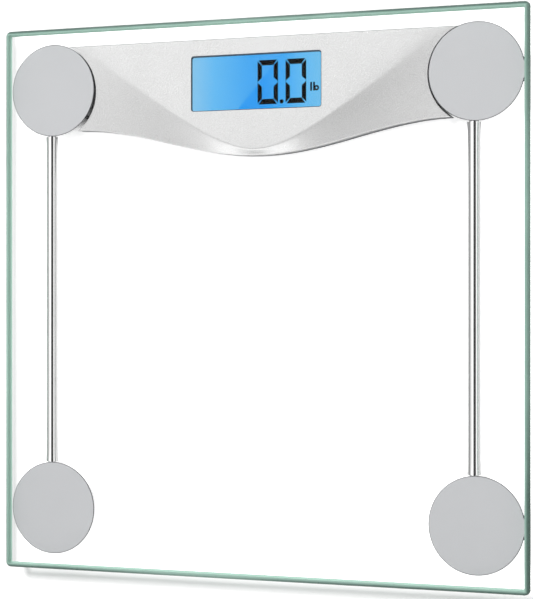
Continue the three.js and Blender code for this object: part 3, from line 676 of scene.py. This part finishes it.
def flat_shapes(name, shapes, z, thick):
    """Thin plates, one for each outline, in one object."""
    verts, faces = [], []
    for shape in shapes:
        first, n = len(verts), len(shape)
        verts += [(x, y, z) for x, y in shape] + [(x, y, z + thick) for x, y in shape]
        faces.append(tuple(range(first, first + n)))
        faces.append(tuple(range(first + n, first + 2 * n)))
        faces += [(first + i, first + (i + 1) % n, first + n + (i + 1) % n, first + n + i) for i in range(n)]
    return mesh_object(name, verts, faces)


def circle(x, y, r, steps=24):
    turns = [2 * math.pi * i / steps for i in range(steps)]
    return [(x + r * math.cos(turn), y + r * math.sin(turn)) for turn in turns]


def display():
    low, high = box_mm("lcd_panel")
    cx, cy = axis_of("lcd_panel")
    ledge = 1.1  # the lower glass of the panel is set back from its contacts
    outline = rounded_rect(high.x - low.x, high.y - low.y, 0.6, (cx, cy))
    panel = prism("lcd_glass_sheet", outline, low.z + ledge, high.z)
    soften(panel, 0.12)
    put(panel, lcd_blue(low, high), "platform", "lcd_panel")
    shapes = [shape for x in DIGITS["x"] for shape in segment_shapes(cx + x, cy + DIGITS["y"])]
    shapes.append(circle(cx + POINT["x"], cy + POINT["y"], POINT["r"]))
    digits = flat_shapes("lcd_digits", shapes, high.z, INK)
    put(soften(digits, 0), FINISH["lcd_ink"], "platform", slot="black_plastic")
    window_lining(high.z, box_mm("display_cover")[1].z)
    unit()


def window_lining(z0, z1):
    """Dark mask lining the window's walls, wider at the rear as painted shade of the rear wall."""
    cx, cy = axis_of("lcd_panel")
    w, d, r = SCREEN["w"] - 2 * LINING["gap"], SCREEN["d"] - 2 * LINING["gap"], SCREEN["r"] - LINING["gap"]
    side, rear = LINING["side"], LINING["rear"]
    low, high = z0 + LINING["rise"], z1 - LINING["below"]
    outer = rounded_rect(w, d, r, (cx, cy))
    # The lining's wider rear is painted shade.
    inner = rounded_rect(w - 2 * side, d - side - rear, r - side, (cx, cy - (rear - side) / 2))
    walls = ((outer, low), (outer, high), (inner, high), (inner, low))
    lining = loft("window_lining", [[(x, y, z) for x, y in outline] for outline, z in walls], closed=False)
    put(soften(lining, 0.04), FINISH["mask_ink"], "platform", slot="black_plastic")


def unit():
    """The unit beside the reading, as l and b."""
    cx, cy = axis_of("lcd_panel")
    x, y, tall = cx + UNIT["x"], cy + UNIT["y"], UNIT["tall"]
    bold, step, bowl = UNIT["bold"], UNIT["step"], UNIT["bowl"]
    stems = (x, x + step)
    shapes = [[(left, y), (left + bold, y), (left + bold, y + tall), (left, y + tall)] for left in stems]
    centre = (x + step + bold * 0.45 + bowl, y + bowl)
    steps = 20
    outer, inner = circle(*centre, bowl, steps), circle(*centre, bowl - bold * 0.9, steps)
    for i in range(steps):
        k = (i + 1) % steps
        shapes.append([outer[i], outer[k], inner[k], inner[i]])
    mark = flat_shapes("lcd_unit", shapes, box_mm("lcd_panel")[1].z, INK)
    put(soften(mark, 0), FINISH["lcd_ink"], "platform", slot="black_plastic")


# ------------------------------------------------------------------ feet
def rounded(points, r=0.5, steps=3):
    """Rounds the corners of an open (radius, height) profile, apart from its ends."""
    out = [points[0]]
    for before, at, after in zip(points, points[1:], points[2:]):
        a, b, c = Vector(before), Vector(at), Vector(after)
        reach = min(r, (a - b).length / 2.2, (c - b).length / 2.2)
        start, end = b + (a - b).normalized() * reach, b + (c - b).normalized() * reach
        for i in range(steps + 1):
            t = i / steps
            p = start * (1 - t) ** 2 + b * 2 * t * (1 - t) + end * t**2
            out.append((p.x, p.y))
    return [*out, points[-1]]


CUP = {"low_r": 18.7, "wall": 2.2, "roof": 2.0, "rim": 1.2, "lip": 1.4, "lip_r": 14.8}
CAP = {"r": 17.4, "floor": 2.5, "top": 4.5, "seat": 15.3, "skirt": 14.2, "skirt_wall": 1.6}
BOSS = {"r": 5.0, "top": 8.5}  # under the steel dome
GROOVES = {"starts": (5.0, 8.0, 11.0), "depth": 0.6, "slope": 0.4, "w": 1.6}
TUBE = {"r": 3.4, "bore": 1.9, "spigot": 2.5, "flare": 9.0}
# The slot where a rear cup's leads leave it, from the foot's axis towards the middle and the front.
EXIT = {"x": 20.6, "y": 16.4, "z": 13.2, "length": 8.0, "width": 6.4, "height": 5.0}


def cup_openings(name, at, wall_r):
    """The hole for the tube's spigot, and in a rear cup the slot where the leads leave."""
    half, side = name.split("_")
    tube_x, tube_z = (sum(v) / 2 for v in list(zip(*box_mm(f"wire_tube_{side}")))[::2])
    back = -1 if half == "rear" else 1
    r = TUBE["spigot"] + 0.2
    hole = lathe("spigot_hole", [(0, -4), (r, -4), (r, 4), (0, 4)], (0, 0), 32, along="y")
    for vertex in hole.data.vertices:
        vertex.co += Vector((tube_x, at[1] + back * wall_r, tube_z))
    if half == "front":
        return [hole]
    outwards = 1 if side == "right" else -1
    turn = math.atan2(-EXIT["y"], -outwards * EXIT["x"])
    centre = (at[0] + wall_r * math.cos(turn), at[1] + wall_r * math.sin(turn), EXIT["z"])
    return [hole, block("lead_slot", (EXIT["length"], EXIT["width"], EXIT["height"]), centre, turn)]


def disc(name, at):
    low, high = box_mm(f"foot_disc_{name}")
    r = (high.x - low.x) / 2
    profile = [(0, low.z), (r, low.z), (r, high.z - 0.15), (r - 0.35, high.z), (0, high.z)]
    obj = soften(lathe(f"silver_disc_{name}", rounded(profile, 0.12), at, 128), 0, angle=50)
    put(obj, FINISH["disc_foil"], "platform", f"foot_disc_{name}")


def cup(name, at):
    """Tapered cup with a lip at its foot, which the cap hooks over."""
    low, high = box_mm(f"foot_cup_{name}")
    r, wall = (high.x - low.x) / 2, CUP["wall"]
    lean = (r - CUP["low_r"]) / (high.z - CUP["rim"] - low.z)
    ceiling, ledge = high.z - CUP["roof"], low.z + CUP["lip"]
    ceiling_r, ledge_r = (CUP["low_r"] + lean * (z - low.z) - wall for z in (ceiling, ledge))
    profile = [
        (0, ceiling), (ceiling_r, ceiling), (ledge_r, ledge), (CUP["lip_r"], ledge), (CUP["lip_r"], low.z),
        (CUP["low_r"], low.z), (r, high.z - CUP["rim"]), (r, high.z), (0, high.z),
    ]
    obj = lathe(f"cup_{name}", rounded(profile, 0.5), at, 96)
    boolean(obj, *cup_openings(name, at, r - wall))
    put(soften(obj, 0), FINISH["grey_shell"], "platform", f"foot_cup_{name}")


def cap(name, at):
    """Cap with a seat for the grip, a skirt that rises inside the cup, and a boss under the dome."""
    low, high = box_mm(f"foot_cap_{name}")
    r, skirt, skirt_in = CAP["r"], CAP["skirt"], CAP["skirt"] - CAP["skirt_wall"]
    profile = [
        (0, BOSS["top"]), (0, CAP["floor"]), (CAP["seat"], CAP["floor"]), (CAP["seat"], low.z), (r, low.z),
        (r, CAP["top"]), (skirt, CAP["top"]), (skirt, high.z), (skirt_in, high.z), (skirt_in, CAP["top"]),
        (BOSS["r"], CAP["top"]), (BOSS["r"], BOSS["top"]),
    ]
    obj = lathe(f"cap_{name}", [profile[0], *rounded(profile[1:], 0.4)], at, 96)
    put(soften(obj, 0), FINISH["grey_shell"], f"foot_{name}", f"foot_cap_{name}")


def grip(name, at):
    """Rubber grip with ring-shaped grooves in its face."""
    low, high = box_mm(f"foot_grip_{name}")
    r, slope, depth = (high.x - low.x) / 2, GROOVES["slope"], GROOVES["depth"]
    profile = [(0, high.z), (0, low.z)]
    for start in GROOVES["starts"]:
        end = start + GROOVES["w"]
        profile += [(start, low.z), (start + slope, depth), (end - slope, depth), (end, low.z)]
    profile += [(r - 0.4, low.z), (r, low.z + 0.5), (r, high.z)]
    obj = lathe(f"grip_{name}", [profile[0], *rounded(profile[1:], 0.25)], at, 96)
    put(soften(obj, 0), FINISH["grip_rubber"], f"foot_{name}", f"foot_grip_{name}")


def foot(name):
    at = axis_of(f"foot_cup_{name}")
    for piece in (disc, cup, cap, grip):
        piece(name, at)


# ------------------------------------------------------------------ tubes
def tube(side):
    """Bright tube, flared smoothly towards both cups, with a spigot at each end."""
    low, high = box_mm(f"wire_tube_{side}")
    x, z, wide, end = (low.x + high.x) / 2, (low.z + high.z) / 2, (high.z - low.z) / 2, high.y
    disc_low = box_mm(f"foot_disc_rear_{side}")[0]
    shoulder = disc_low.y - 0.3
    steps = 10
    flare = []
    for i in range(steps + 1):
        along = i / steps
        flare.append((TUBE["r"] + (wide - TUBE["r"]) * along**2, shoulder - TUBE["flare"] * (1 - along)))
    half = [*flare, (wide, shoulder), (TUBE["spigot"], shoulder), (TUBE["spigot"], end), (TUBE["bore"], end)]
    profile = [(r, -y) for r, y in reversed(half)] + half
    obj = lathe(f"bright_tube_{side}", profile, (0, 0), 48, along="y")
    for vertex in obj.data.vertices:
        vertex.co += Vector((x, 0, z))
    put(soften(obj, 0, angle=50), FINISH["bright_tube"], "platform", f"wire_tube_{side}")


# ------------------------------------------------------------------ underside pieces
DOOR = {"tabs": 1.8, "plate": 1.6, "r": 0.6, "hooks": (-14, 14)}
HOOK = {"w": 6, "d": 1.2, "r": 0.2, "low": 1.4}  # the upright part of a tab
TOE = {"d": 3.0, "y": -0.3, "low": 2.0}  # and the part that hooks in behind the bay's edge
SCOOP = {"r": 5.0, "floor_r": 4.4, "deep": 0.8, "in": 1.5}
RIBS = {"count": 5, "w": 12, "d": 0.5, "deep": 0.35, "step": 1.1, "in": 8.5}
LATCH = {"w": 14, "d": 1.0, "low": 1.4, "top": 2.8}


def battery_door():
    """Door with two hooked tabs along one edge, a latch at the other, and a scoop and ribs for a thumb."""
    low, high = box_mm("battery_door")
    low.y += DOOR["tabs"]
    w, d = high.x - low.x, high.y - low.y
    centre = ((low.x + high.x) / 2, (low.y + high.y) / 2)
    door = prism("bay_door", rounded_rect(w, d, DOOR["r"], centre, 3), low.z, low.z + DOOR["plate"])
    below, scooped = low.z - 1, low.z + SCOOP["deep"]
    profile = [(0, below), (SCOOP["r"], below), (SCOOP["floor_r"], scooped), (0, scooped)]
    boolean(door, lathe("scoop", profile, (centre[0], high.y - SCOOP["in"]), 48))
    for i in range(RIBS["count"]):
        at = (centre[0], high.y - RIBS["in"] - RIBS["step"] * i)
        outline = rounded_rect(RIBS["w"] - i, RIBS["d"], 0.24, at, 3)
        boolean(door, prism("rib", outline, below, low.z + RIBS["deep"]))
    for x in DOOR["hooks"]:
        hook = rounded_rect(HOOK["w"], HOOK["d"], HOOK["r"], (centre[0] + x, low.y + HOOK["d"] / 2), 2)
        toe = rounded_rect(HOOK["w"], TOE["d"], HOOK["r"], (centre[0] + x, low.y + TOE["y"]), 2)
        pieces = prism("hook", hook, low.z + HOOK["low"], high.z), prism("toe", toe, low.z + TOE["low"], high.z)
        boolean(door, *pieces, operation="UNION")
    outline = rounded_rect(LATCH["w"], LATCH["d"], 0.2, (centre[0], high.y - 0.6), 2)
    latch = prism("latch", outline, low.z + LATCH["low"], low.z + LATCH["top"])
    boolean(door, latch, operation="UNION")
    put(soften(door, 0.1), FINISH["grey_shell"], "door", "battery_door")


def unit_button():
    """Key with a dished face, a flange that keeps it in the base, and a stem under the switch."""
    low, high = box_mm("unit_button")
    face, flange, r = low.z, high.z - 1.6, (high.x - low.x) / 2
    profile = [
        (0, high.z), (0, face + 0.35), (1.6, face + 0.3), (3.2, face + 0.12), (4.1, face), (4.5, face + 0.4),
        (4.5, flange), (r, flange), (r, flange + 0.9), (2, flange + 0.9), (2, high.z),
    ]
    button = lathe("unit_key", [profile[0], *rounded(profile[1:], 0.15)], axis_of("unit_button"), 64)
    put(soften(button, 0), FINISH["white_plastic"], "button", "unit_button")


SCREW = {"head": 1.55, "under": 2.0, "r": 1.25, "root": 1.05, "pitch": 0.8, "tip": 1.4, "cross": (2.8, 0.6)}


def screw(index):
    """Cross-head screw with its thread as rings."""
    name = f"housing_screw_{index}"
    low, high = box_mm(name)
    r = (high.x - low.x) / 2
    head, outer, root = low.z + SCREW["head"], SCREW["r"], SCREW["root"]
    profile = [(0, high.z), (0, low.z), (r * 0.6, low.z), (r, low.z + 0.7), (r, head), (outer, head)]
    z = low.z + SCREW["under"]
    while z < high.z - 1.6:
        profile += [(root, z), (outer, z + SCREW["pitch"] / 2)]
        z += SCREW["pitch"]
    body = lathe(f"screw_{index}", profile + [(root, high.z - SCREW["tip"])], axis_of(name), 32)
    for w, d in (SCREW["cross"], SCREW["cross"][::-1]):
        boolean(body, prism("bit", rounded_rect(w, d, 0.1, axis_of(name), 2), low.z - 1, low.z + 0.9))
    put(soften(body, 0), FINISH["cell_steel"], "platform", name)


NUB = {"length": 1.1, "r": 1.9}


def battery(name, nub_side):
    """Cell along x, with a crimped base and its nub towards nub_side."""
    low, high = box_mm(name)
    r, length = (high.z - low.z) / 2, high.x - low.x
    body, nub = length - NUB["length"], NUB["r"]
    profile = [
        (0, 0), (3.2, 0), (3.5, 0.25), (4.5, 0.25), (4.8, 0), (r - 0.2, 0.1), (r, 0.6),
        (r, body - 0.8), (r - 0.35, body - 0.3), (r - 1.2, body), (nub, body), (nub, length - 0.2),
        (nub - 0.3, length), (0, length),
    ]
    start = low.x if nub_side > 0 else high.x
    obj = lathe(f"cell_{name}", profile, (0, 0), 64, along="x")
    y, z = (low.y + high.y) / 2, (low.z + high.z) / 2
    for vertex in obj.data.vertices:
        vertex.co = Vector((start + nub_side * vertex.co.x, y + nub_side * vertex.co.y, z + vertex.co.z))
    put(soften(obj, 0), battery_jacket(f"jacket_{name}", low, high, nub_side), "platform", name)


EDGES = {"display_base": 0.2, "other": 0.06}  # rounding of the nodes that stay


def carry_over():
    """CAD nodes that stay: each gets its finish, and slightly rounded, smooth-shaded edges."""
    for name, obj in NODES.items():
        if obj.hide_render:
            continue
        obj.data.materials.clear()
        obj.data.materials.append(FINISH[SLOT_OF[name]])
        for face in obj.data.polygons:
            face.use_smooth = True
        bevel = obj.modifiers.new("edges", "BEVEL")
        bevel.width = EDGES.get(name, EDGES["other"]) * MM
        bevel.segments = 2
        bevel.limit_method = "ANGLE"
        bevel.angle_limit = math.radians(40)
        bevel.harden_normals = True


# ------------------------------------------------------------------ studio
# The camera's turn from straight down, its distance from the plate's middle and its small offsets, in metres.
VIEW = {"yaw": math.radians(21.67), "distance": 1.025, "across": -0.00633, "rise": 0.00473}
# Width of the picture and focal length in millimetres, and the picture's shift as a share of its width.
LENS = {"width": 36, "focal": 115.6327, "shift": 0.0135225}
TOWARDS_CAMERA = (math.sin(VIEW["yaw"]), 0.0, math.cos(VIEW["yaw"]))


# Soft light from below reaches only what lies within reach of the table, so that the underside can be seen.
UNDERLIGHT = {"reach": 0.016, "more": 1.0}
# Painted light: the table glows only where it is seen directly or through glass, under the plate up to its
# edge, and far away, where the lamp gives less.
TABLE = {"half": 4, "edge": (0.148, 0.152), "far": (0.5, 2.2), "far_glow": 0.42, "mirrored": 0.28}
# Painted shade: how open a point of the table is to the sky where its glow and its colour fade, within a
# distance.
PAINTED_TABLE_SHADE = {"distance": 0.02, "glow": (0.25, 0.5), "colour": (0.15, 0.45), "least": 0.1}


def table_look(tree, path):
    """Colour and glow of the table: painted light under the plate and far away, painted shade where little sky
    reaches, and dimmer in reflections.
    """
    parts = node(tree, "ShaderNodeSeparateXYZ", {0: position(tree)})
    out = math_node(tree, "MAXIMUM", *(math_node(tree, "ABSOLUTE", parts.outputs[i]) for i in (0, 1)))
    seen = math_node(tree, "MAXIMUM", path.outputs["Is Camera Ray"], path.outputs["Is Transmission Ray"])
    sky = node(tree, "ShaderNodeAmbientOcclusion", {"Distance": PAINTED_TABLE_SHADE["distance"]}, samples=8)
    open_sky = sky.outputs["AO"]
    # Painted light under the plate, weaker where little sky reaches.
    near = remap(tree, out, 1.0, 0.0, *TABLE["edge"])
    near = math_node(tree, "MULTIPLY", near, remap(tree, open_sky, 0, 1, *PAINTED_TABLE_SHADE["glow"]))
    far = remap(tree, out, 0.0, TABLE["far_glow"], *TABLE["far"])
    glow = math_node(tree, "MULTIPLY", seen, math_node(tree, "ADD", near, far))
    pale = remap(tree, noise(tree, 3, 2), 0.89, 0.91)
    # Painted shade: the colour darkens where little sky reaches.
    pale = math_node(tree, "MULTIPLY", pale, remap(tree, open_sky, PAINTED_TABLE_SHADE["least"], 1, *PAINTED_TABLE_SHADE["colour"]))
    less = math_node(tree, "MULTIPLY", path.outputs["Is Glossy Ray"], TABLE["mirrored"])
    return math_node(tree, "MULTIPLY", pale, math_node(tree, "SUBTRACT", 1.0, less)), glow


def floor():
    """Pale table with a painted glow, seen from above only, so that the underside can be looked at."""
    half = TABLE["half"]
    corners = [(-half, -half, 0), (half, -half, 0), (half, half, 0), (-half, half, 0)]
    obj = mesh_object("studio_floor", corners, [(0, 1, 2, 3)])
    material, tree, shader = new_material("pale_floor")
    path = node(tree, "ShaderNodeLightPath")
    colour, glow = table_look(tree, path)
    feed(
        tree,
        shader,
        Base_Color=colour,
        Roughness=0.9,
        Specular_IOR_Level=0.0,
        Emission_Color=grey(1.0),
        Emission_Strength=glow,
    )
    behind = node(tree, "ShaderNodeNewGeometry").outputs["Backfacing"]
    soft = math_node(tree, "MAXIMUM", path.outputs["Is Diffuse Ray"], path.outputs["Is Shadow Ray"])
    close = math_node(tree, "LESS_THAN", path.outputs["Ray Length"], UNDERLIGHT["reach"])
    through = math_node(tree, "MAXIMUM", behind, math_node(tree, "MULTIPLY", soft, close))
    clear = node(tree, "ShaderNodeBsdfTransparent").outputs[0]
    surface(tree, mix_shader(tree, through, shader.outputs[0], clear))
    obj.data.materials.append(material)


TENT = 0.78  # brightness of the tent's plain walls
# Direction, the angles in degrees where a patch ends and fades out, and how much it adds or takes away.
PANELS = [
    ((-0.24, 0.32, 0.87), 6, 34, 0.8),
    ((-0.37, 0.2, 0.9), 1, 12, 0.4),
    ((-0.66, -0.6, 0.48), 6, 34, 0.55),
    ((-0.12, -0.93, 0.3), 15, 38, 1.1),
    ((0.87, 0, 0.5), 6, 18, 0.4),
]
DARK_CARDS = [
    (TOWARDS_CAMERA, 17, 25, 0.93),
    ((-1, 0, 0.25), 10, 22, 0.6),
    ((1, 0, 0.1), 8, 17, 0.75),
]
UNDER_FROM, UNDER_TO = -0.05, -0.2  # heights of a direction between which the underlight comes in
DIFFUSE_LESS = 0.42  # share of the tent's light that matte surfaces don't get, as the lamp gives them theirs
BACKDROP = 0.9  # brightness behind the table
KEY = {"at": (-0.1, 0.5, 1.7), "size": 0.3, "power": 27}


def patch(tree, way, towards, inner, outer):
    """1 within inner degrees of a direction, falling to 0 at outer degrees."""
    aim = Vector(towards).normalized()
    along = node(tree, "ShaderNodeVectorMath", {0: way, 1: aim}, operation="DOT_PRODUCT").outputs["Value"]
    return remap(tree, along, 0, 1, math.cos(math.radians(outer)), math.cos(math.radians(inner)))


def tent(tree, way):
    """Brightness of the tent in a direction."""
    height = node(tree, "ShaderNodeSeparateXYZ", {0: way}).outputs[2]
    light = remap(tree, height, TENT + UNDERLIGHT["more"], TENT, UNDER_TO, UNDER_FROM)
    for towards, inner, outer, more in PANELS:
        added = math_node(tree, "MULTIPLY", patch(tree, way, towards, inner, outer), more)
        light = math_node(tree, "ADD", light, added)
    for towards, inner, outer, dim in DARK_CARDS:
        taken = math_node(tree, "MULTIPLY", patch(tree, way, towards, inner, outer), dim)
        light = math_node(tree, "MULTIPLY", light, math_node(tree, "SUBTRACT", 1.0, taken))
    return light


def world():
    """Soft white tent with bright panels, and dark cards that draw the lines along bright metal."""
    scene = bpy.context.scene
    scene.world = bpy.data.worlds.new("studio")
    scene.world.use_nodes = True
    tree = scene.world.node_tree
    light = tent(tree, node(tree, "ShaderNodeTexCoord").outputs["Generated"])
    path = node(tree, "ShaderNodeLightPath")
    less = math_node(tree, "MULTIPLY", path.outputs["Is Diffuse Ray"], DIFFUSE_LESS)
    light = math_node(tree, "MULTIPLY", light, math_node(tree, "SUBTRACT", 1.0, less))
    seen = math_node(tree, "MAXIMUM", path.outputs["Is Camera Ray"], path.outputs["Is Transmission Ray"])
    shown = node(tree, "ShaderNodeMix", {"Factor": seen, "A": light, "B": BACKDROP}, data_type="FLOAT")
    tree.links.new(shown.outputs["Result"], tree.nodes["Background"].inputs["Strength"])
    tree.nodes["Background"].inputs["Color"].default_value = grey(1.0)


def lamp(name, at, size, power):
    """Square lamp aimed at the middle of the table, not reflected in the metal."""
    data = bpy.data.lights.new(name, "AREA")
    data.size = size
    data.energy = power
    obj = bpy.data.objects.new(name, data)
    bpy.context.scene.collection.objects.link(obj)
    obj.location = at
    obj.visible_glossy = False
    obj.rotation_euler = (-Vector(at)).to_track_quat("-Z", "Y").to_euler()


def camera():
    """Looks down on the plate from its right, square to its sides, from about a metre."""
    low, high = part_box("glass_platform")
    back = Vector(TOWARDS_CAMERA)
    right = Vector((back.z, 0, -back.x))
    data = bpy.data.cameras.new("camera")
    data.sensor_width = LENS["width"]
    data.lens = LENS["focal"]
    data.shift_y = LENS["shift"]
    obj = bpy.data.objects.new("camera", data)
    bpy.context.scene.collection.objects.link(obj)
    middle = Vector((0, 0, (low.z + high.z) / 2))
    obj.location = middle + back * VIEW["distance"] - right * VIEW["across"] - Vector((0, VIEW["rise"], 0))
    obj.rotation_euler = (0, VIEW["yaw"], 0)
    bpy.context.scene.camera = obj


glass_plate()
display_cover()
display()
for foot_name in FEET:
    foot(foot_name)
tube("left")
tube("right")
battery_door()
unit_button()
for number in range(1, 6):
    screw(number)
battery("battery_front", 1)
battery("battery_rear", -1)
carry_over()
floor()
world()
lamp("key", KEY["at"], KEY["size"], KEY["power"])
camera()
bpy.context.scene.view_settings.view_transform = "Standard"
